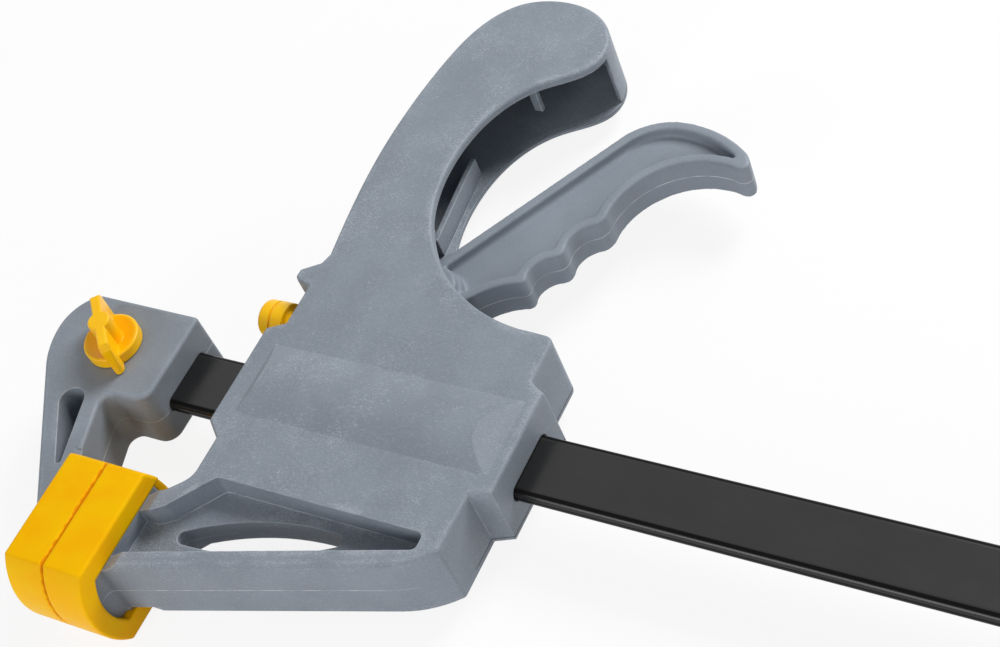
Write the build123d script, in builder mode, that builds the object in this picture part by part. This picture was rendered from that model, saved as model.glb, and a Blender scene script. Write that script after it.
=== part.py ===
from build123d import *
import math
import os

os.makedirs("parts", exist_ok=True)

# One-hand bar clamp, lying on its side. X runs along the bar towards its free end, Y towards
# the handle, Z up through the side that carries the wing knob. X = 0 is the plane where the
# two pads meet, Y = 0 and Z = 0 are the bar's centreline.

# ---------------------------------------------------------------- fits
slide_gap = 0.3      # between pieces that slide or swing past each other
running_gap = 0.05   # radial, pins and shafts that turn in a hole
seat_gap = 0.02      # radial, pieces pushed together for good

# ---------------------------------------------------------------- bar
bar_width = 19.0
bar_thickness = 5.0
bar_edge_radius = 2.2
bar_length = 460.0
bar_start_x = -42.0
bar_end_x = bar_start_x + bar_length
stop_pin_radius = 2.0
stop_pin_bore = 1.2
stop_pin_slit = 0.8
stop_pin_length = 14.0
stop_pin_from_end = 8.0

# ---------------------------------------------------------------- pads and jaw tips
pad_gap = 0.3            # between the closed pads
pad_depth = 12.9         # along the bar
pad_half_width = 16.3    # along Z
pad_side_top = -37.9     # Y where a side's straight run starts
pad_side_bottom = -70.0
pad_top_rise = 4.5       # how far the rounded ends stand past the straight runs
pad_bottom_rise = 6.0
pad_wall = 2.6           # around the tip plate's edge
pad_face = 4.9           # between the clamping face and the tip plate
pad_lip = 2.6            # behind the tip plate
pad_mouth_half = 10.2    # half the opening that the jaw passes through
pad_edge_radius = 0.8
pad_face_x = pad_gap / 2
plate_front_x = pad_face_x + pad_face
plate_back_x = pad_face_x + pad_depth - pad_lip

# ---------------------------------------------------------------- fixed jaw
jaw_near = 11.1          # outer face on the knob's side
jaw_far = -10.1
jaw_edge_radius = 1.2
block_right_x = -4.9
block_top = 14.8
block_bottom = -15.5
block_top_left = (-41.2, block_top)
block_back = (-48.1, 1.0)        # the block's back bulges out to here
arm_left_root = (-43.9, -11.6)   # the arm's straight outer edge starts here
arm_left_foot = (-11.2, -63.0)   # and reaches the tip plate here
arm_right_root = (-19.9, block_bottom)
arm_right_foot = (-12.6, -41.0)
block_top_radius = 1.5
block_bottom_radius = 4.8
arm_root_radius = 3.5
flare_length = 3.6               # over which a jaw thins towards its pad
teardrop_top = (-27.8, -20.0)
teardrop_top_radius = 3.9
teardrop_tip = (-19.6, -38.6)
teardrop_tip_radius = 0.9
teardrop_web = 2.4

# ---------------------------------------------------------------- lock knob and shaft
lock_x = -25.2
lock_shaft_radius = 4.0
lock_flat_width = 5.0
lock_groove_depth = 0.8
knob_radius = 8.3
knob_base_height = 3.4
knob_dish_depth = 2.2
wing_angle = -48.0
wing_width = 2.9
wing_top_length = 21.6
wing_base_length = 23.6
wing_height = 11.2       # above the jaw's face
knob_boss_radius = 3.3
washer_radius = 7.0
washer_thickness = 1.0
clip_radius = 5.6
clip_thickness = 0.9
clip_recess_radius = 8.0
clip_recess_depth = 3.0

# ---------------------------------------------------------------- housing
near_wall = 3.0
handle_wall = 2.3        # the same side, along the handle
tip_wall = 1.6           # end of the handle
cavity_half = 8.8        # half the depth of the hollow
near_z = cavity_half + near_wall   # outer face of the housing's side
cover_thickness = 1.8
wall = 3.0
sleeve_front_x = 18.2    # the ends of the collar around the bar
sleeve_back_x = 106.2
sleeve_half = 15.5
body_front_x = 23.3
body_back_x = 101.6
foot_back_x = 100.6       # below the collar
body_corner = (body_back_x, 32.3)
body_bottom = -31.0
shoulder = 2.3           # how far the collar's corners are cut back
cavity_floor = -14.5
rim_radius = 1.0
bulge_half = 11.5        # raised side over the drive spring
bulge_height = 2.5
bulge_start_x = 24.4
bulge_end_x = 103.0
bulge_front_ramp = 3.0
bulge_back_ramp = 8.2
hook_outline = [(19.0, 33.0), (17.6, 34.3), (17.7, 36.9), (22.9, 40.4)]
handle_front = [(23.9, 43.8), (21.6, 60.0), (20.0, 80.0), (20.5, 100.0), (23.1, 120.0),
                (27.7, 135.0), (36.2, 144.9), (49.0, 148.2), (62.2, 145.0), (70.0, 137.4),
                (71.9, 130.6)]
handle_inside = [(71.9, 130.6), (70.3, 124.6), (57.5, 114.8), (46.6, 99.0), (44.2, 86.0),
                 (48.6, 61.5), (62.2, 44.4), (80.0, 34.8), (94.0, 32.7)]
channel_side = [(76.0, 128.0), (76.0, 100.0), (72.0, 60.0)]     # past the handle's open side
cavity_top = [(72.0, 33.9), (80.0, 31.7), (94.0, 29.5), (96.6, 28.9)]
cover_edge_y = -21.0
cover_tab = [(94.0, cover_edge_y), (95.0, -22.4), (101.6, -26.8)]
cavity_back_x = 98.3
cover_rib = ((40.0, 95.0), (43.0, 64.0))
cover_rib_thickness = 1.6
cover_rib_top = -2.0
post_place = (51.5, 118.0)
post_size = (2.6, 1.6)
post_bottom = -3.0

# ---------------------------------------------------------------- moving jaw
web_near = 4.6           # faces of the jaw's web
web_far = -3.2
arm_slope = 0.294        # of its lower edge
arm_foot_y = -65.1       # where the lower edge reaches the tip plate
arm_foot_radius = 2.2
heel_start_x = 86.0      # where the lower edge starts to curve up to the heel
heel_corner_y = -34.2
heel_radius = 1.5
flange_height = 4.8
strut_top = [(9.9, -43.0), (13.2, -40.2), (17.8, -38.2), (21.2, -34.9), (23.3, -32.5)]
strut_root_radius = 6.0
pocket_left_x = 12.8
pocket_top = [(17.0, -45.3), (20.9, -42.8), (30.8, -31.0), (94.5, -30.6)]
pocket_radius = 1.8
lens_start = (19.8, -48.7)       # sharp ends, before they are rounded
lens_end = (74.4, -34.5)
lens_rise = 5.2
lens_drop = 4.6
lens_end_radius = 2.0

# ---------------------------------------------------------------- trigger
pivot = (56.4, 41.3)
pivot_pin_radius = 3.0
pivot_pin_blind = 1.4
hub_radius = 8.1
trigger_half = 6.0
trigger_rim = 3.1
trigger_web = 6.0
hub_top = (49.6, 45.6)
hub_bottom = (61.2, 35.2)
# arcs through each three points in turn: back, tip, fingers, with the ridges between them
trigger_curve = [(87.4, 106.2), (94.6, 112.0), (104.4, 113.8), (115.0, 111.6), (123.4, 107.2),
                 (125.8, 104.9), (126.9, 102.4), (125.6, 100.3), (122.9, 100.5), (99.6, 92.6),
                 (94.4, 79.0), (94.1, 75.6), (92.4, 73.4), (88.8, 70.6), (87.6, 65.0),
                 (87.6, 62.3), (85.6, 60.4), (82.0, 57.6), (80.9, 53.4), (81.4, 51.3),
                 (80.0, 50.0), (74.0, 47.3), (69.1, 43.0)]
trigger_stroke = 18.0    # degrees
tail_reach = 26.8        # pivot to the centre of the tail's rounded end
tail_end_radius = 2.5
tail_root_width = 9.0
tail_half = 5.5

# ---------------------------------------------------------------- drive plates and spring
drive_plate_x = 55.2
drive_plate_thickness = 2.4
drive_plate_top = 15.2
drive_plate_bottom = -14.1
drive_plate_half = 8.0
drive_wire = 1.4
drive_coil_radius = bar_width / 2 + slide_gap + drive_wire / 2    # to the wire's centre
drive_turns = 9
spring_relief_radius = drive_coil_radius + drive_wire / 2 + 0.4

# ---------------------------------------------------------------- brake plate and spring
brake_x = 35.3           # foot of the brake plate
brake_foot_y = -15.2
brake_thickness = 3.0
brake_top = 30.0
brake_half = 7.5
brake_tilt = 5.0         # degrees, top towards the fixed jaw
partition_x = 44.0       # rib that carries the brake spring
partition_thickness = 2.6
brake_spring_y = 17.2
brake_wire = 0.9
brake_coil_radius = 3.0
brake_turns = 6

# ---------------------------------------------------------------- release button
button_y = 26.0
button_head_radius = 5.5
button_head_x = 7.3
button_head_thickness = 4.0
button_waist_radius = 4.9
button_collar_x = 12.1
button_collar_radius = 5.6
button_collar_thickness = 3.9
button_neck_radius = 4.0
button_flange_radius = 5.6
button_flange_thickness = 1.8
button_tip_radius = 2.2
button_tip_x = 30.0

# ---------------------------------------------------------------- cover screws
screw_radius = 1.45
screw_length = 11.0
screw_head_radius = 2.7
screw_head_height = 1.9
screw_seat_depth = 0.9
screw_cross_width = 0.8
screw_boss_radius = 3.6
screw_places = [(50.5, 141.8), (26.6, 88.0), (31.0, 46.5), (94.8, 25.8), (38.0, -17.8),
                (86.0, -17.8)]


def near_points(vertices, points, reach=0.4):
    """The vertices of a sketch that lie at the given XY points."""
    return [v for v in vertices if any(math.dist((v.X, v.Y), p) < reach for p in points)]


# ================================================================ bar
with BuildPart() as bar:
    with BuildSketch(Plane.YZ.offset(bar_start_x)):
        RectangleRounded(bar_width, bar_thickness, bar_edge_radius)
    extrude(amount=bar_length)
    with BuildSketch(Plane.XY):
        with Locations((lock_x, 0)):
            Circle(lock_shaft_radius + running_gap)
        with Locations(((bar_start_x + lock_x) / 2, 0)):
            Rectangle(lock_x - bar_start_x, lock_flat_width + 2 * running_gap)
    extrude(amount=bar_thickness, both=True, mode=Mode.SUBTRACT)
    with Locations((bar_end_x - stop_pin_from_end, 0, 0)):
        Cylinder(stop_pin_radius + seat_gap, 2 * bar_thickness, mode=Mode.SUBTRACT)
bar.part.label = "bar"
export_step(bar.part, "parts/bar.step")

with BuildPart() as bar_stop_pin:
    with BuildSketch(Plane.XY.offset(-stop_pin_length / 2)):
        with Locations((bar_end_x - stop_pin_from_end, 0)):
            Circle(stop_pin_radius)
            Circle(stop_pin_bore, mode=Mode.SUBTRACT)
            with Locations((stop_pin_radius, 0)):
                Rectangle(2 * stop_pin_radius, stop_pin_slit, mode=Mode.SUBTRACT)
    extrude(amount=stop_pin_length)
bar_stop_pin.part.label = "bar_stop_pin"
export_step(bar_stop_pin.part, "parts/bar_stop_pin.step")


# ================================================================ pads and tip plates
def tip_outline(inset):
    """Rounded outline of a jaw tip in the YZ plane, drawn as sketch X = Y and sketch Y = Z."""
    half = pad_half_width - inset
    top = pad_side_top
    bottom = pad_side_bottom
    with BuildSketch(mode=Mode.PRIVATE) as outline:
        with BuildLine():
            Line((bottom, half), (top, half))
            ThreePointArc((top, half), (top + pad_top_rise - inset, 0), (top, -half))
            Line((top, -half), (bottom, -half))
            ThreePointArc((bottom, -half), (bottom - pad_bottom_rise + inset, 0), (bottom, half))
        make_face()
    return outline.sketch


def pad_mouth():
    """Opening at a pad's back, open at its top, drawn like tip_outline."""
    bottom = pad_side_bottom - pad_bottom_rise + 2.1 * pad_wall
    with BuildSketch(mode=Mode.PRIVATE) as mouth:
        with BuildLine():
            Line((0, pad_mouth_half), (pad_side_bottom + pad_wall, pad_mouth_half))
            ThreePointArc((pad_side_bottom + pad_wall, pad_mouth_half), (bottom, 0),
                          (pad_side_bottom + pad_wall, -pad_mouth_half))
            Line((pad_side_bottom + pad_wall, -pad_mouth_half), (0, -pad_mouth_half))
            Line((0, -pad_mouth_half), (0, pad_mouth_half))
        make_face()
    return mouth.sketch


with BuildPart() as moving_jaw_pad:
    with BuildSketch(Plane.YZ.offset(pad_face_x)):
        add(tip_outline(0))
    extrude(amount=pad_depth)
    fillet(moving_jaw_pad.edges().filter_by(lambda e: e.length > pad_wall), pad_edge_radius)
    with BuildSketch(Plane.YZ.offset(plate_front_x - seat_gap)):
        add(tip_outline(pad_wall - seat_gap))
    extrude(amount=plate_back_x - plate_front_x + 2 * seat_gap, mode=Mode.SUBTRACT)
    with BuildSketch(Plane.YZ.offset(plate_back_x)):
        add(pad_mouth())
    extrude(amount=2 * pad_lip, mode=Mode.SUBTRACT)
moving_jaw_pad.part.label = "moving_jaw_pad"
export_step(moving_jaw_pad.part, "parts/moving_jaw_pad.step")

with BuildPart() as fixed_jaw_pad:
    mirror(moving_jaw_pad.part, about=Plane.YZ)
fixed_jaw_pad.part.label = "fixed_jaw_pad"
export_step(fixed_jaw_pad.part, "parts/fixed_jaw_pad.step")


def pad_flare(face_z, back_x, bottom, top):
    """Wedge between a jaw's face at face_z and the thinner part that goes into its pad."""
    thin_z = math.copysign(pad_mouth_half - slide_gap, face_z)
    out = math.copysign(1, back_x)
    start_x = back_x + out * (pad_lip + 0.4)
    with BuildPart(mode=Mode.PRIVATE) as wedge:
        with BuildSketch(Plane.XZ.offset(-bottom)):
            Polygon((back_x, thin_z), (start_x, thin_z), (start_x + out * flare_length, face_z),
                    (start_x + out * flare_length, 2 * face_z), (back_x, 2 * face_z), align=None)
        extrude(amount=bottom - top)
    return wedge.part


# ================================================================ fixed jaw
knob_seat_z = jaw_near + slide_gap
with BuildPart() as fixed_jaw:
    with BuildSketch(Plane.XY.offset(jaw_far)) as jaw_sketch:
        with BuildLine():
            outer_edge = Polyline(arm_left_foot, arm_left_root)
            lower_back = TangentArc(arm_left_root, block_back, tangent=outer_edge % 1)
            TangentArc(block_back, block_top_left, tangent=lower_back % 1)
            Polyline(block_top_left, (block_right_x, block_top), (block_right_x, block_bottom),
                     arm_right_root, arm_right_foot, (-plate_back_x, -43.5),
                     (-plate_back_x, arm_left_foot[1]), arm_left_foot)
        make_face()
        fillet(near_points(jaw_sketch.vertices(), [(block_right_x, block_top)]), block_top_radius)
        fillet(near_points(jaw_sketch.vertices(), [(block_right_x, block_bottom)]),
               block_bottom_radius)
        fillet(near_points(jaw_sketch.vertices(), [arm_right_root, block_top_left]),
               arm_root_radius)
    extrude(amount=jaw_near - jaw_far)
    side_edges = fixed_jaw.edges().filter_by(
        lambda e: min(abs(e.center().Z - jaw_near), abs(e.center().Z - jaw_far)) < 0.01)
    fillet([e for e in side_edges if e.center().X < -plate_back_x - 2 * slide_gap],
           jaw_edge_radius)
    for face_z in (jaw_near, jaw_far):
        add(pad_flare(face_z, -plate_back_x, pad_side_bottom, pad_side_top + pad_top_rise),
            mode=Mode.SUBTRACT)
    # tip plate
    with BuildSketch(Plane.YZ.offset(-plate_front_x)):
        add(tip_outline(pad_wall))
    extrude(amount=-(plate_back_x - plate_front_x))
    # teardrop pockets, one from each side
    for side in (1, -1):
        with BuildSketch(Plane.XY.offset(side * teardrop_web / 2)):
            with Locations(teardrop_top):
                Circle(teardrop_top_radius)
            with Locations(teardrop_tip):
                Circle(teardrop_tip_radius)
            make_hull()
        extrude(amount=side * 2 * jaw_near, mode=Mode.SUBTRACT)
    # slot for the bar
    with BuildSketch(Plane.YZ.offset(bar_start_x - slide_gap)):
        RectangleRounded(bar_width + 2 * seat_gap, bar_thickness + 2 * seat_gap,
                         bar_edge_radius + seat_gap)
    extrude(amount=-bar_start_x, mode=Mode.SUBTRACT)
    # bore for the lock shaft, and the recess for its washer and clip on the far side
    with Locations((lock_x, 0, 0)):
        Cylinder(lock_shaft_radius + running_gap, 4 * jaw_near, mode=Mode.SUBTRACT)
    with BuildSketch(Plane.XY.offset(jaw_far)):
        with Locations((lock_x, 0)):
            Circle(clip_recess_radius)
    extrude(amount=clip_recess_depth, mode=Mode.SUBTRACT)
fixed_jaw.part.label = "fixed_jaw"
export_step(fixed_jaw.part, "parts/fixed_jaw.step")

# ================================================================ lock knob, shaft, washer, clip
washer_top_z = jaw_far + clip_recess_depth - slide_gap
clip_top_z = washer_top_z - washer_thickness
shaft_bottom_z = clip_top_z - 2 * clip_thickness
shaft_top_z = knob_seat_z + wing_height - 2.0

with BuildPart() as lock_shaft:
    with BuildSketch(Plane.XY.offset(shaft_bottom_z)):
        with Locations((lock_x, 0)):
            Circle(lock_shaft_radius)
    extrude(amount=shaft_top_z - shaft_bottom_z)
    # the two flats that let the bar's slot pass after a quarter turn
    with BuildSketch(Plane.XY.offset(-bar_thickness / 2 - slide_gap)):
        for side in (1, -1):
            with Locations((lock_x + side * (lock_flat_width + lock_shaft_radius) / 2, 0)):
                Rectangle(lock_shaft_radius, 4 * lock_shaft_radius)
    extrude(amount=bar_thickness + 2 * slide_gap, mode=Mode.SUBTRACT)
    # groove for the clip
    with BuildSketch(Plane.XY.offset(clip_top_z)):
        with Locations((lock_x, 0)):
            Circle(2 * lock_shaft_radius)
            Circle(lock_shaft_radius - lock_groove_depth, mode=Mode.SUBTRACT)
    extrude(amount=-clip_thickness, mode=Mode.SUBTRACT)
    # the knob grips a narrower square end
    with BuildSketch(Plane.XY.offset(knob_seat_z)):
        with Locations((lock_x, 0)):
            Circle(2 * lock_shaft_radius)
            Rectangle(knob_boss_radius * 1.2, knob_boss_radius * 1.2, mode=Mode.SUBTRACT)
    extrude(amount=wing_height, mode=Mode.SUBTRACT)
lock_shaft.part.label = "lock_shaft"
export_step(lock_shaft.part, "parts/lock_shaft.step")

with BuildPart() as lock_washer:
    with BuildSketch(Plane.XY.offset(washer_top_z)):
        with Locations((lock_x, 0)):
            Circle(washer_radius)
            Circle(lock_shaft_radius + seat_gap, mode=Mode.SUBTRACT)
    extrude(amount=-washer_thickness)
lock_washer.part.label = "lock_washer"
export_step(lock_washer.part, "parts/lock_washer.step")

with BuildPart() as lock_clip:
    with BuildSketch(Plane.XY.offset(clip_top_z)):
        with Locations((lock_x, 0)):
            Circle(clip_radius)
            Circle(lock_shaft_radius - lock_groove_depth + seat_gap, mode=Mode.SUBTRACT)
        with Locations((lock_x + clip_radius, 0)):
            Rectangle(2 * clip_radius, 2 * (lock_shaft_radius - lock_groove_depth) * 0.8,
                      mode=Mode.SUBTRACT)
    extrude(amount=-clip_thickness)
lock_clip.part.label = "lock_clip"
export_step(lock_clip.part, "parts/lock_clip.step")

wing_plane = Plane(origin=(lock_x, 0, knob_seat_z), x_dir=(math.cos(math.radians(wing_angle)),
                   math.sin(math.radians(wing_angle)), 0), z_dir=(0, 0, 1))
fin_plane = Plane(origin=(lock_x, 0, knob_seat_z), x_dir=wing_plane.x_dir,
                  z_dir=wing_plane.x_dir.cross(Vector(0, 0, 1)))
with BuildPart() as knob_fin:
    with BuildSketch(wing_plane):
        SlotOverall(wing_base_length, wing_width)
    extrude(amount=wing_height)
    with BuildSketch(fin_plane):
        with BuildLine():
            Polyline((-wing_base_length / 2, 0), (wing_base_length / 2, 0),
                     (wing_base_length / 2, 2.2), (wing_top_length / 2, wing_height - 2.2),
                     (wing_top_length / 2 - 1.4, wing_height),
                     (-wing_top_length / 2 + 1.4, wing_height),
                     (-wing_top_length / 2, wing_height - 2.2), (-wing_base_length / 2, 2.2),
                     close=True)
        make_face()
    extrude(amount=wing_width, both=True, mode=Mode.INTERSECT)
    fillet(knob_fin.edges().group_by(Axis.Z)[-1], 0.5)

with BuildPart() as lock_knob:
    with BuildSketch(wing_plane):
        Circle(knob_radius)
    extrude(amount=knob_base_height)
    fillet(lock_knob.edges().group_by(Axis.Z)[-1], 0.6)
    # conical dish in the disc's top
    with BuildSketch(fin_plane):
        with BuildLine():
            Polyline((0, knob_base_height - knob_dish_depth), (knob_radius - 1.0, knob_base_height),
                     (0, knob_base_height), (0, knob_base_height - knob_dish_depth))
        make_face()
    revolve(axis=Axis((lock_x, 0, 0), (0, 0, 1)), mode=Mode.SUBTRACT)
    # the fin and the boss in its middle
    with BuildSketch(wing_plane):
        Circle(knob_boss_radius)
    extrude(amount=wing_height)
    fillet(lock_knob.edges().group_by(Axis.Z)[-1], 0.5)
    add(knob_fin.part)
    with BuildSketch(Plane.XY.offset(knob_seat_z)):
        with Locations((lock_x, 0)):
            Rectangle(knob_boss_radius * 1.2 + 2 * seat_gap, knob_boss_radius * 1.2 + 2 * seat_gap)
    extrude(amount=wing_height - 2.0 + seat_gap, mode=Mode.SUBTRACT)
lock_knob.part.label = "lock_knob"
export_step(lock_knob.part, "parts/lock_knob.step")


# ================================================================ housing
def side_outline():
    """Outline of the body and handle, seen along Z."""
    with BuildSketch(mode=Mode.PRIVATE) as outline:
        with BuildLine():
            Spline(*handle_front)
            Spline(*handle_inside)
            Polyline(handle_inside[-1], body_corner,
                     (body_back_x, sleeve_half + shoulder), (sleeve_back_x, sleeve_half),
                     (sleeve_back_x, -sleeve_half), (foot_back_x, -sleeve_half - shoulder),
                     (foot_back_x, body_bottom), (body_front_x, body_bottom),
                     (body_front_x, -sleeve_half - 2 * shoulder),
                     (sleeve_front_x, -sleeve_half), (sleeve_front_x, sleeve_half + 0.5),
                     (body_front_x, sleeve_half + 1.5 * shoulder), (body_front_x, 32.0),
                     *hook_outline, handle_front[0])
        make_face()
        soft = [(body_back_x, sleeve_half + shoulder), (body_front_x, 32.0), *hook_outline]
        fillet(near_points(outline.vertices(), soft), 0.9)
        fillet(near_points(outline.vertices(), [body_corner]), 3.0)
    return outline.sketch


housing_outline = side_outline()
with BuildLine():
    spine = Spline(*handle_front)
spine_inside = []
for step in range(7):
    along = spine % (step / 6)
    spine_inside.append(spine @ (step / 6) + Vector(along.Y, -along.X) *
                        (tip_wall if step == 6 else wall))


def bulge(face_z):
    """Raised cylinder over the drive spring, standing on the body's side at face_z."""
    top_z = face_z + math.copysign(bulge_height, face_z)
    with BuildPart(mode=Mode.PRIVATE) as raised:
        with BuildSketch(Plane.YZ.offset(bulge_start_x)):
            with BuildLine():
                ThreePointArc((-bulge_half, face_z), (0, top_z), (bulge_half, face_z))
                Line((bulge_half, face_z), (-bulge_half, face_z))
            make_face()
        extrude(amount=bulge_end_x - bulge_start_x)
        with BuildSketch(Plane.XZ):
            Polygon((bulge_end_x, face_z), (bulge_end_x - bulge_back_ramp, top_z),
                    (bulge_end_x - bulge_back_ramp, 2 * top_z), (2 * bulge_end_x, 2 * top_z),
                    (2 * bulge_end_x, face_z), align=None)
            Polygon((bulge_start_x, face_z), (bulge_start_x + bulge_front_ramp, top_z),
                    (bulge_start_x + bulge_front_ramp, 2 * top_z), (0, 2 * top_z), (0, face_z),
                    align=None)
        extrude(amount=2 * bulge_half, both=True, mode=Mode.SUBTRACT)
    return raised.part


def cover_region(z):
    """The far foot of the body, left out of the cover, on the plane at z."""
    with BuildSketch(Plane.XY.offset(z), mode=Mode.PRIVATE) as region:
        Polygon((0, cover_edge_y), *cover_tab, (2 * body_back_x, cover_tab[-1][1]),
                (2 * body_back_x, 2 * body_bottom), (0, 2 * body_bottom), align=None)
    return region.sketch


def lower_line(x):
    """Y of the moving jaw's lower edge."""
    return arm_foot_y + arm_slope * (x - plate_back_x)


def jaw_outline():
    """Outline of the moving jaw, seen along Z."""
    heel_start = (heel_start_x, lower_line(heel_start_x))
    heel_corner = (foot_back_x, heel_corner_y)
    with BuildSketch(mode=Mode.PRIVATE) as outline:
        with BuildLine():
            TangentArc(heel_start, heel_corner, tangent=(1, arm_slope))
            Polyline(heel_corner, (foot_back_x, body_bottom),
                     (foot_back_x - wall, body_bottom + wall),
                     (body_front_x + wall, body_bottom + wall), (body_front_x, body_bottom),
                     *strut_top[::-1], (strut_top[0][0], arm_foot_y), (plate_back_x, arm_foot_y),
                     heel_start)
        make_face()
        fillet(near_points(outline.vertices(), [heel_corner]), heel_radius)
    return outline.sketch


cover_z = -cavity_half - cover_thickness
with BuildPart() as housing:
    # near wall, solid foot of the body and moving jaw
    with BuildSketch(Plane.XY.offset(-cavity_half)) as side_sketch:
        add(housing_outline)
        add(jaw_outline())
        fillet(near_points(side_sketch.vertices(), [strut_top[-1]]), strut_root_radius)
    extrude(amount=near_z + cavity_half)
    near_rim = housing.edges().group_by(Axis.Z)[-1]
    fillet([e for e in near_rim if e.center().X > plate_back_x + pad_lip], rim_radius)
    # hollow of the body and handle, open along the handle's inner side
    with BuildSketch(Plane.XY.offset(-cavity_half)) as hollow:
        with BuildLine():
            Spline(*spine_inside)
            Polyline(spine_inside[-1], *channel_side, *cavity_top, (cavity_back_x, 27.2),
                     (cavity_back_x, cavity_floor), (body_front_x + wall, cavity_floor),
                     (body_front_x + wall, 33.0), spine_inside[0])
        make_face()
        with Locations(*[p for p in screw_places if p[1] > cavity_floor]):
            Circle(screw_boss_radius, mode=Mode.SUBTRACT)
    extrude(amount=2 * cavity_half, mode=Mode.SUBTRACT)
    # the handle's side is thinner
    with BuildSketch(Plane.XY.offset(cavity_half)):
        add(hollow.sketch)
        Polygon((0, 0), (0, channel_side[-1][1]), (2 * body_back_x, channel_side[-1][1]),
                (2 * body_back_x, 0), align=None, mode=Mode.SUBTRACT)
    extrude(amount=near_wall - handle_wall, mode=Mode.SUBTRACT)
    # foot of the body and jaw on the far side, beside the cover
    with BuildSketch(Plane.XY.offset(cover_z)):
        add(side_sketch.sketch)
        add(cover_region(0), mode=Mode.INTERSECT)
    extrude(amount=cover_thickness)
    for face_z in (near_z, cover_z):
        add(pad_flare(face_z, plate_back_x, arm_foot_y - 2 * arm_foot_radius,
                      strut_top[0][1] + arm_foot_radius + flare_length), mode=Mode.SUBTRACT)
    # rounded root of the jaw's lower edge
    foot_run = Vector(1, arm_slope).normalized() * arm_foot_radius
    with BuildSketch(Plane.XY.offset(slide_gap - pad_mouth_half)):
        with BuildLine():
            TangentArc((plate_back_x, arm_foot_y - arm_foot_radius),
                       (plate_back_x + foot_run.X, arm_foot_y + foot_run.Y), tangent=(0, 1))
            Polyline((plate_back_x + foot_run.X, arm_foot_y + foot_run.Y),
                     (plate_back_x, arm_foot_y), (plate_back_x, arm_foot_y - arm_foot_radius))
        make_face()
    extrude(amount=2 * (pad_mouth_half - slide_gap))
    add(bulge(near_z))
    # room for the drive spring, which is rounder than the hollow is deep
    with BuildSketch(Plane.YZ.offset(drive_plate_x + 2 * drive_plate_thickness)):
        Circle(spring_relief_radius)
    extrude(amount=cavity_back_x - drive_plate_x - 2 * drive_plate_thickness, mode=Mode.SUBTRACT)
    # rib that carries the brake spring
    with BuildSketch(Plane.YZ.offset(partition_x)):
        with Locations(((cavity_floor + 22.0) / 2, 0)):
            Rectangle(22.0 - cavity_floor, 2 * cavity_half)
    extrude(amount=partition_thickness)
    # post between the handle's sides
    with BuildSketch(Plane.XY.offset(post_bottom)):
        with Locations(post_place):
            Rectangle(*post_size)
    extrude(amount=near_z - handle_wall - post_bottom)
    # foothold of the brake plate
    with BuildSketch(Plane.XY.offset(-cavity_half)):
        with Locations((brake_x, cavity_floor)):
            Rectangle(brake_thickness + 2.4, 2 * (cavity_floor - brake_foot_y + slide_gap))
    extrude(amount=2 * cavity_half, mode=Mode.SUBTRACT)
    # pockets on both sides of the jaw
    for web_z, side in ((web_near, 1), (web_far, -1)):
        with BuildSketch(Plane.XY.offset(web_z)) as pocket:
            Polygon((pocket_left_x, lower_line(pocket_left_x) + flange_height),
                    (pocket_left_x, pocket_top[0][1]), *pocket_top,
                    (pocket_top[-1][0], lower_line(pocket_top[-1][0]) + flange_height), align=None)
            fillet(pocket.vertices().filter_by(lambda v: v.X > pocket_left_x + 1), pocket_radius)
        extrude(amount=side * 2 * near_z, mode=Mode.SUBTRACT)
    # lens-shaped window through the jaw's web
    lens_axis = Vector(*lens_end) - Vector(*lens_start)
    lens_middle = (Vector(*lens_start) + Vector(*lens_end)) / 2
    lens_normal = Vector(-lens_axis.Y, lens_axis.X).normalized()
    lens_high = lens_middle + lens_normal * lens_rise
    lens_low = lens_middle - lens_normal * lens_drop
    with BuildSketch(Plane.XY.offset(2 * web_far)) as lens:
        with BuildLine():
            ThreePointArc(lens_start, (lens_high.X, lens_high.Y), lens_end)
            ThreePointArc(lens_end, (lens_low.X, lens_low.Y), lens_start)
        make_face()
        fillet(lens.vertices(), lens_end_radius)
    extrude(amount=2 * (web_near - web_far), mode=Mode.SUBTRACT)
    # tip plate
    with BuildSketch(Plane.YZ.offset(plate_front_x)):
        add(tip_outline(pad_wall))
    extrude(amount=plate_back_x - plate_front_x)
    # slot for the bar
    with BuildSketch(Plane.YZ.offset(sleeve_front_x - 1)):
        RectangleRounded(bar_width + 2 * slide_gap, bar_thickness + 2 * slide_gap,
                         bar_edge_radius + slide_gap)
    extrude(amount=sleeve_back_x - sleeve_front_x + 2, mode=Mode.SUBTRACT)
    # bore for the release button
    with BuildSketch(Plane.YZ.offset(body_front_x - 1)):
        with Locations((button_y, 0)):
            Circle(button_neck_radius + running_gap)
    extrude(amount=wall + 2, mode=Mode.SUBTRACT)
    # blind bore for the trigger's pin
    with BuildSketch(Plane.XY.offset(-cavity_half)):
        with Locations(pivot):
            Circle(pivot_pin_radius + seat_gap)
    extrude(amount=cavity_half + near_z - pivot_pin_blind, mode=Mode.SUBTRACT)
    # holes for the cover's screws
    with BuildSketch(Plane.XY.offset(-cavity_half)):
        with Locations(*screw_places):
            Circle(screw_radius + seat_gap)
    extrude(amount=screw_length, mode=Mode.SUBTRACT)
housing.part.label = "housing"
export_step(housing.part, "parts/housing.step")

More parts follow.
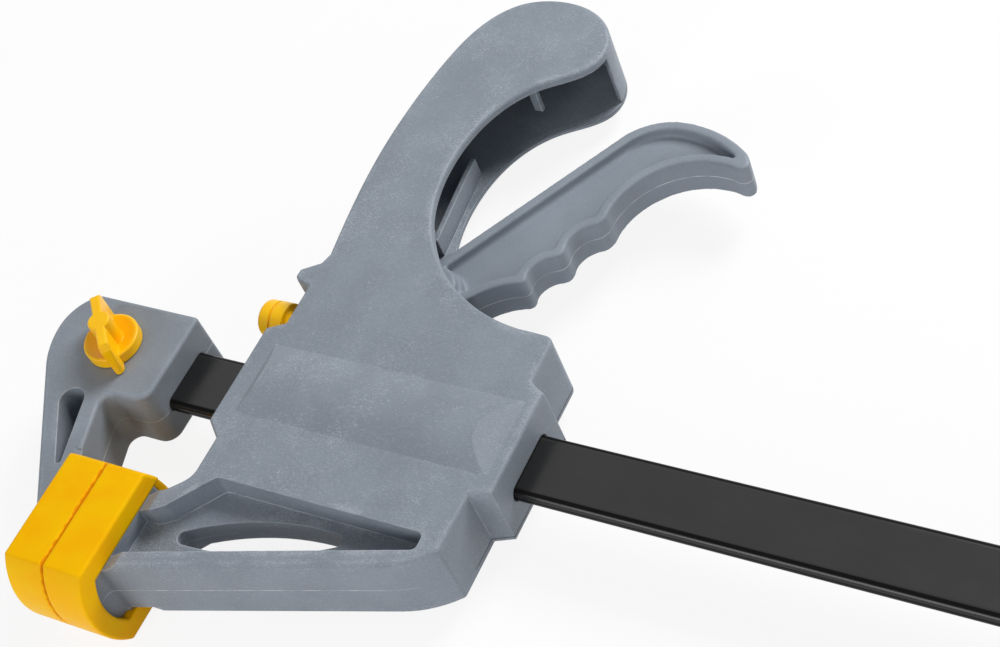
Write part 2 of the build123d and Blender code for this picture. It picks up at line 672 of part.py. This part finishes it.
# ================================================================ cover
with BuildPart() as housing_cover:
    with BuildSketch(Plane.XY.offset(-cavity_half)):
        add(housing_outline)
        add(cover_region(0), mode=Mode.SUBTRACT)
    extrude(amount=-cover_thickness)
    outer_rim = housing_cover.edges().group_by(Axis.Z)[0]
    fillet([e for e in outer_rim if e.center().Y > cover_edge_y + 1], 0.8)
    add(bulge(cover_z))
    # the other half of the drive spring's room
    with BuildSketch(Plane.YZ.offset(drive_plate_x + 2 * drive_plate_thickness)):
        Circle(spring_relief_radius)
    extrude(amount=cavity_back_x - drive_plate_x - 2 * drive_plate_thickness, mode=Mode.SUBTRACT)
    # stiffening rib in the handle
    rib_start, rib_end = (Vector(*p) for p in cover_rib)
    rib_angle = math.degrees(math.atan2(rib_end.Y - rib_start.Y, rib_end.X - rib_start.X))
    with BuildSketch(Plane.XY.offset(-cavity_half)):
        with Locations(Location((rib_start + rib_end) / 2, (0, 0, rib_angle))):
            Rectangle((rib_end - rib_start).length, cover_rib_thickness)
    extrude(amount=cover_rib_top + cavity_half)
    # bore for the trigger's pin
    with BuildSketch(Plane.XY.offset(cover_z)):
        with Locations(pivot):
            Circle(pivot_pin_radius + seat_gap)
        with Locations(*screw_places):
            Circle(screw_radius + seat_gap)
    extrude(amount=cover_thickness, mode=Mode.SUBTRACT)
    with BuildSketch(Plane.XY.offset(cover_z)):
        with Locations(*screw_places):
            Circle(screw_head_radius + seat_gap)
    extrude(amount=screw_seat_depth, mode=Mode.SUBTRACT)
housing_cover.part.label = "housing_cover"
export_step(housing_cover.part, "parts/housing_cover.step")

with BuildPart() as cover_screws:
    with Locations(*[(x, y, cover_z + screw_seat_depth) for x, y in screw_places]):
        Cylinder(screw_radius, screw_length - 0.5, align=(Align.CENTER, Align.CENTER, Align.MIN))
        Cylinder(screw_head_radius, screw_head_height,
                 align=(Align.CENTER, Align.CENTER, Align.MAX))
    fillet(cover_screws.edges().group_by(Axis.Z)[0], 0.7)
    with Locations(*[(x, y, cover_z + screw_seat_depth - screw_head_height)
                     for x, y in screw_places]):
        Box(2 * screw_head_radius * 0.7, screw_cross_width, 2.0, mode=Mode.SUBTRACT)
        Box(screw_cross_width, 2 * screw_head_radius * 0.7, 2.0, mode=Mode.SUBTRACT)
cover_screws.part.label = "cover_screws"
export_step(cover_screws.part, "parts/cover_screws.step")

# ================================================================ trigger and its pin
with BuildPart() as trigger_pin:
    with BuildSketch(Plane.XY.offset(cover_z)):
        with Locations(pivot):
            Circle(pivot_pin_radius)
    extrude(amount=near_z - pivot_pin_blind - 0.2 - cover_z)
    chamfer(trigger_pin.edges().group_by(Axis.Z)[0], 0.4)
trigger_pin.part.label = "trigger_pin"
export_step(trigger_pin.part, "parts/trigger_pin.step")

tail_angle = -trigger_stroke / 2
tail_end = (pivot[0] + tail_reach * math.sin(math.radians(tail_angle)),
            pivot[1] - tail_reach * math.cos(math.radians(tail_angle)))
with BuildSketch() as trigger_outline:
    with BuildLine():
        Polyline(pivot, hub_top, trigger_curve[0])
        for start, middle, end in zip(trigger_curve[::2], trigger_curve[1::2], trigger_curve[2::2]):
            ThreePointArc(start, middle, end)
        Polyline(trigger_curve[-1], hub_bottom, pivot)
    make_face()
    fillet(near_points(trigger_outline.vertices(), [trigger_curve[0]]), 6.0)
    with Locations(pivot):
        Circle(hub_radius)

with BuildPart() as trigger:
    with BuildSketch(Plane.XY.offset(-trigger_half)):
        add(trigger_outline.sketch)
    extrude(amount=2 * trigger_half)
    with BuildSketch(Plane.XY.offset(-tail_half)):
        with Locations(pivot):
            Circle(tail_root_width / 2)
        with Locations(tail_end):
            Circle(tail_end_radius)
        make_hull()
    extrude(amount=2 * tail_half)
    with BuildSketch(Plane.XY.offset(-cavity_half + slide_gap)):
        with Locations(pivot):
            Circle(hub_radius)
    extrude(amount=2 * (cavity_half - slide_gap))
    for side in (1, -1):
        with BuildSketch(Plane.XY.offset(side * trigger_web / 2)):
            offset(trigger_outline.sketch, amount=-trigger_rim)
            with Locations(pivot):
                Circle(hub_radius + 1.0, mode=Mode.SUBTRACT)
        extrude(amount=side * trigger_half, mode=Mode.SUBTRACT)
    with BuildSketch(Plane.XY.offset(-cavity_half)):
        with Locations(pivot):
            Circle(pivot_pin_radius + running_gap)
    extrude(amount=2 * cavity_half, mode=Mode.SUBTRACT)
trigger.part.label = "trigger"
export_step(trigger.part, "parts/trigger.step")

# ================================================================ drive plates and spring
with BuildPart() as drive_plate_1:
    with BuildSketch(Plane.YZ.offset(drive_plate_x)):
        with Locations(((drive_plate_top + drive_plate_bottom) / 2, 0)):
            RectangleRounded(drive_plate_top - drive_plate_bottom, 2 * drive_plate_half, 1.5)
        RectangleRounded(bar_width + 2 * slide_gap, bar_thickness + 2 * slide_gap,
                         bar_edge_radius, mode=Mode.SUBTRACT)
    extrude(amount=drive_plate_thickness)
drive_plate_1.part.label = "drive_plate_1"
export_step(drive_plate_1.part, "parts/drive_plate_1.step")

with BuildPart() as drive_plate_2:
    with Locations((drive_plate_thickness, 0, 0)):
        add(drive_plate_1.part)
drive_plate_2.part.label = "drive_plate_2"
export_step(drive_plate_2.part, "parts/drive_plate_2.step")

spring_start = drive_plate_x + 2 * drive_plate_thickness + 0.1
spring_length = cavity_back_x - spring_start - 0.1
with BuildPart() as drive_spring:
    with BuildLine() as drive_coil:
        Helix((spring_length - drive_wire) / drive_turns, spring_length - drive_wire,
              drive_coil_radius, center=(spring_start + drive_wire / 2, 0, 0), direction=(1, 0, 0))
    with BuildSketch(Plane(origin=drive_coil.line @ 0, z_dir=drive_coil.line % 0)):
        Circle(drive_wire / 2)
    sweep(path=drive_coil.line, is_frenet=True)
drive_spring.part.label = "drive_spring"
export_step(drive_spring.part, "parts/drive_spring.step")

# ================================================================ brake plate and spring
brake_pivot_y = brake_foot_y + brake_thickness / 2
brake_frame = Plane(origin=(brake_x, brake_pivot_y, 0),
                    x_dir=(0, 0, -1),
                    z_dir=(math.cos(math.radians(brake_tilt)), math.sin(math.radians(brake_tilt)), 0))
brake_hole_height = (bar_width + brake_thickness * math.sin(math.radians(brake_tilt)))
brake_hole_height = brake_hole_height / math.cos(math.radians(brake_tilt)) + 2 * running_gap
with BuildPart() as brake_plate:
    with BuildSketch(brake_frame):
        with Locations((0, (brake_top - brake_pivot_y) / 2)):
            Rectangle(2 * brake_half, brake_top - brake_pivot_y)
    extrude(amount=brake_thickness / 2, both=True)
    # rounded foot
    with BuildSketch(Plane.XY.offset(-brake_half)):
        with Locations((brake_x, brake_pivot_y)):
            Circle(brake_thickness / 2)
    extrude(amount=2 * brake_half)
    with BuildSketch(brake_frame):
        with Locations((0, -brake_pivot_y / math.cos(math.radians(brake_tilt)))):
            RectangleRounded(bar_thickness + 2 * slide_gap, brake_hole_height, bar_edge_radius)
    extrude(amount=brake_thickness, both=True, mode=Mode.SUBTRACT)
brake_plate.part.label = "brake_plate"
export_step(brake_plate.part, "parts/brake_plate.step")

brake_rise = brake_spring_y - brake_pivot_y
brake_spring_start = brake_x - brake_rise * math.tan(math.radians(brake_tilt))
brake_spring_start += brake_thickness / 2 + brake_coil_radius * math.tan(math.radians(brake_tilt)) + 0.3
brake_spring_length = partition_x - brake_spring_start - 0.1
with BuildPart() as brake_spring:
    with BuildLine() as brake_coil:
        Helix((brake_spring_length - brake_wire) / brake_turns, brake_spring_length - brake_wire,
              brake_coil_radius, center=(brake_spring_start + brake_wire / 2, brake_spring_y, 0),
              direction=(1, 0, 0))
    with BuildSketch(Plane(origin=brake_coil.line @ 0, z_dir=brake_coil.line % 0)):
        Circle(brake_wire / 2)
    sweep(path=brake_coil.line, is_frenet=True)
brake_spring.part.label = "brake_spring"
export_step(brake_spring.part, "parts/brake_spring.step")

# ================================================================ release button
with BuildPart() as release_button:
    with BuildSketch(Plane.XY) as button_profile:
        with BuildLine():
            Polyline((button_head_x, button_y), (button_head_x, button_y + button_head_radius),
                     (button_head_x + button_head_thickness, button_y + button_head_radius),
                     (button_head_x + button_head_thickness, button_y + button_waist_radius),
                     (button_collar_x, button_y + button_waist_radius),
                     (button_collar_x, button_y + button_collar_radius),
                     (button_collar_x + button_collar_thickness, button_y + button_collar_radius),
                     (button_collar_x + button_collar_thickness, button_y + button_neck_radius),
                     (body_front_x + wall + slide_gap, button_y + button_neck_radius),
                     (body_front_x + wall + slide_gap, button_y + button_flange_radius),
                     (body_front_x + wall + slide_gap + button_flange_thickness,
                      button_y + button_flange_radius),
                     (body_front_x + wall + slide_gap + button_flange_thickness,
                      button_y + button_tip_radius),
                     (button_tip_x, button_y + button_tip_radius), (button_tip_x, button_y),
                     close=True)
        make_face()
        head_rim = [(button_head_x, button_y + button_head_radius)]
        fillet(near_points(button_profile.vertices(), head_rim), 1.5)
    revolve(axis=Axis((0, button_y, 0), (1, 0, 0)))
release_button.part.label = "release_button"
export_step(release_button.part, "parts/release_button.step")
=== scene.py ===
import math

import bpy
from mathutils import Matrix, Vector


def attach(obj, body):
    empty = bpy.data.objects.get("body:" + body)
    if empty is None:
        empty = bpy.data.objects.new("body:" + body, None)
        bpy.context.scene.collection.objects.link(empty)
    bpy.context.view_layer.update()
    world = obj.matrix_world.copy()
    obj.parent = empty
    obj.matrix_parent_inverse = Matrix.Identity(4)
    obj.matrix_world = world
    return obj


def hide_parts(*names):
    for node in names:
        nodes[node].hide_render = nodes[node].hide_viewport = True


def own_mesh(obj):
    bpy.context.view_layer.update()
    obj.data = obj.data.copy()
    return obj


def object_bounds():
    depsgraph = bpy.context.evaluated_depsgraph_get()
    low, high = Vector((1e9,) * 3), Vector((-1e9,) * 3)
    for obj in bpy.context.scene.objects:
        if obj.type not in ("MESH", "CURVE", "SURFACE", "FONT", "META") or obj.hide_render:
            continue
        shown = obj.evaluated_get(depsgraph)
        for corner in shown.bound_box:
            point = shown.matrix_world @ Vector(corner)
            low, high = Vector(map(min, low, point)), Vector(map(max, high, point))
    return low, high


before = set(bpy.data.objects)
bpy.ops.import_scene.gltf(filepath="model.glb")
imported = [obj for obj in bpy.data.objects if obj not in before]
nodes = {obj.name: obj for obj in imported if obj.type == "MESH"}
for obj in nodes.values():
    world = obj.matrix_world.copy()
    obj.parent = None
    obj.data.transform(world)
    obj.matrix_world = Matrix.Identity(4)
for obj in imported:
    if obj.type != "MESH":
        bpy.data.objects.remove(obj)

cad_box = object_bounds()
per_metre = 1000              # millimetres

# ---------------------------------------------------------------- camera and floor, in metres
camera_azimuth = 46.16        # degrees round the clamp, 0 looks along +Y
camera_elevation = 48.09
camera_roll = -25.81
camera_distance = 0.5213
camera_lens = 69.56           # this and the sensor in millimetres
camera_sensor = 36.0
camera_near = 0.01
camera_far = 20.0
camera_target = Vector((0.07723, 0.04012, 0.0))
floor_gap = 0.0002            # below the clamp's lowest face
floor_reach = 4.0
floor_colour = (0.9, 0.9, 0.9)
floor_roughness = 0.9
floor_specular = 0.1
floor_glow = 0.88             # share of plain white in what the camera sees of the floor
sky_strength = 0.20           # of the world's light on the clamp
white = (1, 1, 1)

# ---------------------------------------------------------------- colours
grey = (0.212, 0.244, 0.289)
grey_dark = (0.184, 0.213, 0.254)
# pale grey of scuffs, also used for the painted highlight along edges
grey_scuffed_and_highlit = (0.50, 0.545, 0.60)
yellow = (1.0, 0.54, 0.0)
yellow_deep = (1.0, 0.48, 0.0)
# painted shade of the crease between the two pads
yellow_seam_shade = (0.80, 0.25, 0.0)
yellow_gloss = (1.0, 0.57, 0.002)
yellow_gloss_deep = (1.0, 0.51, 0.001)
black = (0.007, 0.007, 0.007)
# paler black of drawn streaks and of the edges, where it is also a painted highlight
black_worn_and_highlit = (0.045, 0.044, 0.042)
steel = (0.55, 0.55, 0.56)
steel_dark = (0.36, 0.36, 0.37)
wire_dark = (0.2, 0.2, 0.21)
joint_dark = (0.012, 0.016, 0.026)
parting_pale = (0.62, 0.65, 0.69)

# ---------------------------------------------------------------- places, in millimetres
cover_joint = -8.8            # height along Z where the housing meets its cover
cover_joint_end = -28         # along Y, the joint's line shows above this and fades in over 2 mm
body_parting = -40            # along Y, a mould's parting line shows below these
jaw_parting = 100
trigger_parting = 200
bevel_samples = 8


class Finish:
    """A procedural material, built up one node at a time. Its lengths are millimetres."""

    def __init__(self, name, base, roughness, metallic=0.0, specular=0.5):
        self.material = bpy.data.materials.new(name)
        self.material.use_nodes = True
        self.tree = self.material.node_tree
        self.surface = self.tree.nodes["Principled BSDF"]
        self.surface.inputs["Base Color"].default_value = (*base, 1)
        self.surface.inputs["Roughness"].default_value = roughness
        self.surface.inputs["Metallic"].default_value = metallic
        self.surface.inputs["Specular IOR Level"].default_value = specular
        place = self.node("ShaderNodeTexCoord").outputs["Object"]
        self.place = self.node("ShaderNodeVectorMath", {0: place, 1: (per_metre,) * 3},
                               operation="MULTIPLY").outputs[0]

    def node(self, kind, inputs=None, **settings):
        """A new node, with its settings and with a value or a link for each named input."""
        made = self.tree.nodes.new(kind)
        for name, value in settings.items():
            setattr(made, name, value)
        for socket, value in (inputs or {}).items():
            self.put(value, made.inputs[socket])
        return made

    def put(self, value, socket):
        if isinstance(value, bpy.types.NodeSocket):
            self.tree.links.new(value, socket)
        else:
            socket.default_value = value

    def noise(self, size, detail=3.0, stretch=(1, 1, 1), turn=0.0, roughness=0.5):
        """Noise whose lumps are about size across, drawn out along one axis by stretch."""
        place = self.node("ShaderNodeMapping", {"Vector": self.place, "Scale": stretch,
                                                "Rotation": (0, 0, math.radians(turn))})
        made = self.node("ShaderNodeTexNoise", {"Vector": place.outputs[0], "Scale": 1 / size,
                                                "Detail": detail, "Roughness": roughness})
        return made.outputs[0]

    def step(self, value, low, high, to=(0.0, 1.0)):
        """The first of to below low, the second above high, smooth between them.

        Where low is above high it runs the other way.
        """
        return self.node("ShaderNodeMapRange", {"Value": value, "From Min": low, "From Max": high,
                                                "To Min": to[0], "To Max": to[1]},
                         interpolation_type="SMOOTHSTEP").outputs[0]

    def calculate(self, operation, *values):
        return self.node("ShaderNodeMath", dict(enumerate(values)), operation=operation).outputs[0]

    def times(self, a, b):
        return self.calculate("MULTIPLY", a, b)

    def larger(self, a, b):
        return self.calculate("MAXIMUM", a, b)

    def plus(self, a, b):
        return self.calculate("ADD", a, b)

    def magnitude(self, value):
        return self.calculate("ABSOLUTE", value)

    def parts(self, vector):
        """The vector's X, Y and Z."""
        return tuple(self.node("ShaderNodeSeparateXYZ", {0: vector}).outputs)

    def lying(self):
        """How flat a face lies: 1 where it looks straight up or down, 0 where it is upright."""
        normal = self.node("ShaderNodeNewGeometry").outputs["Normal"]
        return self.magnitude(self.parts(normal)[2])

    def mix(self, share, a, b):
        """Colour a where share is 0 and b where it is 1."""
        made = self.node("ShaderNodeMix", {0: share}, data_type="RGBA")
        for colour, socket in ((a, made.inputs[6]), (b, made.inputs[7])):
            self.put((*colour, 1) if isinstance(colour, tuple) else colour, socket)
        return made.outputs[2]

    def edges(self, radius, flat_turn, sharp_turn):
        """How sharply the surface turns within the radius: 0 on a flat face, 1 on a sharp edge."""
        soft = self.node("ShaderNodeBevel", {"Radius": radius / per_metre}, samples=bevel_samples)
        flat = self.node("ShaderNodeNewGeometry")
        along = self.node("ShaderNodeVectorMath", {0: soft.outputs[0], 1: flat.outputs["Normal"]},
                          operation="DOT_PRODUCT")
        return self.step(along.outputs["Value"], flat_turn, sharp_turn)

    def colour(self, value):
        self.put(value, self.surface.inputs["Base Color"])

    def rough(self, value):
        self.put(value, self.surface.inputs["Roughness"])

    def bumps(self, radius, *layers):
        """Rounds the edges and lays bumps over them, each given as height map and depth."""
        normal = self.node("ShaderNodeBevel", {"Radius": radius / per_metre},
                           samples=bevel_samples).outputs[0]
        for height, depth in layers:
            normal = self.node("ShaderNodeBump", {"Height": height, "Distance": depth / per_metre,
                                                  "Normal": normal}).outputs[0]
        self.put(normal, self.surface.inputs["Normal"])


def nylon(name, scuffs, parting=None, wear_and_highlight=1.0, seam=None):
    """Fine-grained moulded nylon, with pale specks rubbed into it that thicken towards edges.

    scuffs is the strength of the specks, and the keyword after parting that of the pale edges,
    which are partly abrasion and partly painted highlight. parting is the height along Y, in
    millimetres, below which the mould's parting line shows, and seam the height along Z of the
    joint with the cover.
    """
    made = Finish(name, grey, 0.5, specular=0.4)
    grain = made.noise(0.5, detail=5.0)
    mottle = made.noise(14.0, detail=4.0)
    clouds = made.step(made.noise(19.0, detail=5.0, roughness=0.62), 0.44, 0.68)
    rims = made.times(made.edges(5.0, 0.999, 0.93),
                      made.step(made.noise(9.0, detail=3.0), 0.36, 0.6))
    lying = made.lying()
    open_side = made.step(lying, 0.5, 0.95, to=(0.35, 1.0))
    handled = made.times(made.larger(made.times(clouds, 0.55), rims), open_side)
    fine = made.plus(made.noise(0.3, detail=2.0, roughness=0.6), made.times(handled, 0.15))
    specks = made.times(made.step(fine, 0.62, 0.72), scuffs)
    hairs = made.plus(made.noise(0.42, detail=3.0, stretch=(0.28, 1.5, 1), turn=32),
                      made.times(handled, 0.13))
    hairs = made.times(made.step(hairs, 0.62, 0.74), 0.8 * scuffs)
    wide = made.plus(made.noise(2.6, detail=5.0, roughness=0.75), made.times(handled, 0.16))
    smears = made.times(made.step(wide, 0.55, 0.85), 0.4 * scuffs)
    rubbed = made.larger(made.larger(specks, hairs), smears)
    # pale edges: partly abrasion and partly a painted highlight laid along every rim
    edges = made.edges(0.7, 0.99, 0.86)
    worn_and_highlit = made.times(edges, made.step(made.noise(3.5, detail=4.0), 0.3, 0.62,
                                       to=(0.2 * wear_and_highlight, 0.7 * wear_and_highlight)))
    colour = made.mix(made.step(mottle, 0.3, 0.7), grey_dark, grey)
    colour = made.mix(made.step(grain, 0.2, 0.8, to=(0, 0.12)), colour, grey_scuffed_and_highlit)
    colour = made.mix(made.times(rubbed, 0.5), colour, grey_scuffed_and_highlit)
    colour = made.mix(worn_and_highlit, colour, grey_scuffed_and_highlit)
    along_y, along_z = made.parts(made.place)[1:]
    if seam is not None:
        off = made.magnitude(made.calculate("SUBTRACT", along_z, seam))
        joint = made.times(made.step(off, 0.32, 0.12), made.step(lying, 0.6, 0.3))
        joint = made.times(joint, made.step(along_y, cover_joint_end, cover_joint_end + 2))
        colour = made.mix(made.times(joint, 0.85), colour, joint_dark)
    if parting is not None:
        off = made.magnitude(along_z)
        line = made.times(made.step(off, 0.18, 0.06), made.step(lying, 0.6, 0.3))
        line = made.times(line, made.step(along_y, parting + 1, parting))
        line = made.times(line, made.step(made.noise(5.0, detail=3.0), 0.4, 0.6, to=(0.25, 0.9)))
        colour = made.mix(line, colour, parting_pale)
    made.colour(colour)
    made.rough(made.step(grain, 0.2, 0.8, to=(0.44, 0.6)))
    layers = [(mottle, 0.1), (grain, 0.035), (specks, 0.012)]
    if parting is not None:
        layers.append((line, 0.08))
    made.bumps(0.6, *layers)
    return made.material


def rubber():
    """Soft yellow rubber that lets a little light through, with painted shade where the two pads
    meet.
    """
    made = Finish("pad_rubber", yellow, 0.42, specular=0.08)
    mottle = made.noise(9.0, detail=3.0)
    grain = made.noise(0.9, detail=4.0)
    colour = made.mix(made.step(mottle, 0.3, 0.7), yellow_deep, yellow)
    # painted shade: a darker orange in the crease where the two pads meet, near x = 0
    off = made.magnitude(made.parts(made.place)[0])
    off = made.plus(off, made.step(made.noise(2.0, detail=2.0), 0.3, 0.7, to=(-0.25, 0.25)))
    meeting_shade = made.step(off, 0.7, 0.25)
    made.colour(made.mix(made.times(meeting_shade, 0.8), colour, yellow_seam_shade))
    made.rough(made.step(grain, 0.3, 0.7, to=(0.36, 0.5)))
    made.surface.inputs["Subsurface Weight"].default_value = 0.2
    made.surface.inputs["Subsurface Radius"].default_value = (1.0, 0.32, 0.05)
    made.surface.inputs["Subsurface Scale"].default_value = 0.004
    made.bumps(1.2, (mottle, 0.25), (grain, 0.015))
    return made.material


def gloss():
    """Glossy yellow plastic of the knob and the button."""
    made = Finish("knob_plastic", yellow_gloss, 0.3, specular=0.3)
    mottle = made.noise(9.0, detail=2.0)
    grain = made.noise(0.5, detail=3.0)
    made.colour(made.mix(made.step(mottle, 0.3, 0.7), yellow_gloss_deep, yellow_gloss))
    made.rough(made.step(grain, 0.3, 0.7, to=(0.30, 0.36)))
    made.bumps(0.6, (mottle, 0.1), (grain, 0.001))
    return made.material


def blacked():
    """Black oxide on drawn steel: glossy on its flats and in a band along its rounded edges."""
    made = Finish("bar_oxide", black, 0.3, specular=0.45)
    lines = made.noise(0.9, detail=3.0, stretch=(0.01, 1, 1))
    cloud = made.noise(14.0, detail=4.0)
    # paler edges: partly abrasion and partly a painted highlight along the rounded edges
    worn_and_highlit = made.times(made.edges(0.5, 0.99, 0.86),
                      made.step(made.noise(6.0, detail=4.0), 0.45, 0.7))
    colour = made.mix(made.step(lines, 0.3, 0.7, to=(0, 0.04)), black, black_worn_and_highlit)
    made.colour(made.mix(made.times(worn_and_highlit, 0.7), colour, black_worn_and_highlit))
    made.rough(made.step(cloud, 0.35, 0.7, to=(0.22, 0.28)))
    lying = made.lying()
    band = made.times(made.step(lying, 0.1, 0.3), made.step(lying, 0.8, 0.6, to=(0, 0.4)))
    face = made.step(lying, 0.95, 0.99, to=(0.03, 0.45))
    made.put(made.larger(band, face), made.surface.inputs["Specular IOR Level"])
    made.bumps(0.3, (lines, 0.0015), (cloud, 0.02))
    return made.material


def metal(name, base, dark, roughness, grain_size):
    """Plain steel with fine drawn or rolled marks."""
    made = Finish(name, base, roughness, metallic=1.0)
    marks = made.noise(grain_size, detail=4.0, stretch=(0.2, 1, 1))
    cloud = made.noise(4.0, detail=4.0)
    made.colour(made.mix(made.step(cloud, 0.3, 0.7), dark, base))
    made.rough(made.step(marks, 0.3, 0.7, to=(roughness - 0.08, roughness + 0.1)))
    made.bumps(0.2, (marks, 0.006))
    return made.material


body_nylon = nylon("body_nylon", scuffs=1.0, parting=body_parting, seam=cover_joint)
finishes = {
    "housing": body_nylon,
    "housing_cover": body_nylon,
    "fixed_jaw": nylon("jaw_nylon", scuffs=0.45, parting=jaw_parting),
    "moving_jaw_pad": rubber(),
    "lock_knob": gloss(),
    "bar": blacked(),
    "bar_stop_pin": metal("pin_steel", steel, steel_dark, roughness=0.3, grain_size=0.4),
    "drive_spring": metal("spring_wire", steel_dark, wire_dark, roughness=0.35, grain_size=0.3),
}
finishes["fixed_jaw_pad"] = finishes["moving_jaw_pad"]
finishes["release_button"] = finishes["lock_knob"]
finishes["brake_spring"] = finishes["drive_spring"]
for name, node in nodes.items():
    node.material_slots[0].material = finishes.get(name, finishes["bar_stop_pin"])


def copy_of(name, ending):
    """A copy of a CAD node, in its place and named after it."""
    piece = bpy.data.objects.new(name + ending, nodes[name].data.copy())
    bpy.context.scene.collection.objects.link(piece)
    return piece


def shown_instead(piece, name, body, material):
    """Makes the piece move with the body and stand for the CAD node."""
    piece.data.materials.clear()
    piece.data.materials.append(material)
    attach(piece, body)
    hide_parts(name)


def moulded(name, voxel, passes):
    """A copy of a CAD node whose sharp rims are rounded, as they come out of the mould.

    Its mesh is made even, with faces of voxel millimetres, and then smoothed in passes.
    """
    soft = copy_of(name, "_moulded")
    remesh = soft.modifiers.new("even", "REMESH")
    remesh.mode = "VOXEL"
    remesh.voxel_size = voxel / per_metre
    smooth = soft.modifiers.new("soft", "SMOOTH")
    smooth.factor = 0.5
    smooth.iterations = passes
    shown = soft.evaluated_get(bpy.context.evaluated_depsgraph_get())
    made = bpy.data.meshes.new_from_object(shown)
    soft.modifiers.clear()
    soft.data = made
    made.polygons.foreach_set("use_smooth", [True] * len(made.polygons))
    return soft


def coil(name):
    """A copy of a coil spring, with a mesh of its own, that moves with the slider and stands for
    the CAD node.
    """
    spring = copy_of(name, "_coil")
    shown_instead(spring, name, "slider", finishes["drive_spring"])
    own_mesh(spring)


trigger_nylon = nylon("trigger_nylon", scuffs=0.2, parting=trigger_parting, wear_and_highlight=0.4)
shown_instead(moulded("trigger", voxel=0.4, passes=24), "trigger", "trigger",
              trigger_nylon)
coil("drive_spring")
coil("brake_spring")

# ---------------------------------------------------------------- floor, light and world
floor_mesh = bpy.data.meshes.new("floor")
floor_mesh.from_pydata([(x * floor_reach, y * floor_reach, 0)
                        for x, y in ((-1, -1), (1, -1), (1, 1), (-1, 1))], [], [(0, 1, 2, 3)])
floor = bpy.data.objects.new("floor", floor_mesh)
floor.location = (0, 0, cad_box[0].z - floor_gap)
bpy.context.scene.collection.objects.link(floor)

floor_finish = bpy.data.materials.new("floor")
floor_finish.use_nodes = True
floor_tree = floor_finish.node_tree
floor_surface = floor_tree.nodes["Principled BSDF"]
floor_surface.inputs["Base Color"].default_value = (*floor_colour, 1)
floor_surface.inputs["Roughness"].default_value = floor_roughness
floor_surface.inputs["Specular IOR Level"].default_value = floor_specular
floor_mesh.materials.append(floor_finish)


def seen_directly(tree):
    """1 for rays from the camera, mirrors and glass, 0 for the rays that light the object."""
    path = tree.nodes.new("ShaderNodeLightPath")
    share = path.outputs["Is Camera Ray"]
    for other in ("Is Glossy Ray", "Is Transmission Ray"):
        either = tree.nodes.new("ShaderNodeMath")
        either.operation = "MAXIMUM"
        tree.links.new(share, either.inputs[0])
        tree.links.new(path.outputs[other], either.inputs[1])
        share = either.outputs[0]
    return share


# a white glow added to the floor for the camera, so that only the shadow's core shows
glow = floor_tree.nodes.new("ShaderNodeEmission")
blend = floor_tree.nodes.new("ShaderNodeMixShader")
glow_share = floor_tree.nodes.new("ShaderNodeMath")
glow_share.operation = "MULTIPLY"
glow_share.inputs[1].default_value = floor_glow
floor_tree.links.new(seen_directly(floor_tree), glow_share.inputs[0])
floor_tree.links.new(glow_share.outputs[0], blend.inputs[0])
floor_tree.links.new(floor_surface.outputs[0], blend.inputs[1])
floor_tree.links.new(glow.outputs[0], blend.inputs[2])
floor_tree.links.new(blend.outputs[0], floor_tree.nodes["Material Output"].inputs["Surface"])

# soft light from all round, which the camera, mirrors and glass see as plain white
world = bpy.data.worlds.new("studio")
bpy.context.scene.world = world
world.use_nodes = True
sky = world.node_tree
light = sky.nodes["Background"]
plain = sky.nodes.new("ShaderNodeBackground")
for background, strength in ((light, sky_strength), (plain, 1.0)):
    background.inputs["Color"].default_value = (*white, 1)
    background.inputs["Strength"].default_value = strength
which = sky.nodes.new("ShaderNodeMixShader")
sky.links.new(seen_directly(sky), which.inputs[0])
sky.links.new(light.outputs[0], which.inputs[1])
sky.links.new(plain.outputs[0], which.inputs[2])
sky.links.new(which.outputs[0], sky.nodes["World Output"].inputs["Surface"])


def softbox(name, place, size, power):
    """A square lamp that looks at the camera's target."""
    lamp = bpy.data.lights.new(name, "AREA")
    lamp.size = size
    lamp.energy = power
    made = bpy.data.objects.new(name, lamp)
    made.location = place
    made.rotation_euler = (camera_target - Vector(place)).to_track_quat("-Z", "Y").to_euler()
    bpy.context.scene.collection.objects.link(made)


softbox("key", (0.36, 0.76, 0.70), size=0.45, power=10.3)
softbox("fill", (-0.12, -0.92, 0.40), size=0.5, power=4.3)
softbox("side", (0.84, -0.56, 0.42), size=0.4, power=1.6)

# ---------------------------------------------------------------- camera
azimuth, elevation = math.radians(camera_azimuth), math.radians(camera_elevation)
back = Vector((math.sin(azimuth) * math.cos(elevation), -math.cos(azimuth) * math.cos(elevation),
               math.sin(elevation)))
camera_data = bpy.data.cameras.new("camera")
camera_data.lens = camera_lens
camera_data.sensor_width = camera_sensor
camera_data.clip_start = camera_near
camera_data.clip_end = camera_far
camera = bpy.data.objects.new("camera", camera_data)
turned = (-back).to_track_quat("-Z", "Y").to_matrix().to_4x4()
camera.matrix_world = (Matrix.Translation(camera_target + back * camera_distance) @ turned
                       @ Matrix.Rotation(math.radians(camera_roll), 4, "Z"))
bpy.context.scene.collection.objects.link(camera)
bpy.context.scene.camera = camera
bpy.context.scene.view_settings.view_transform = "Standard"
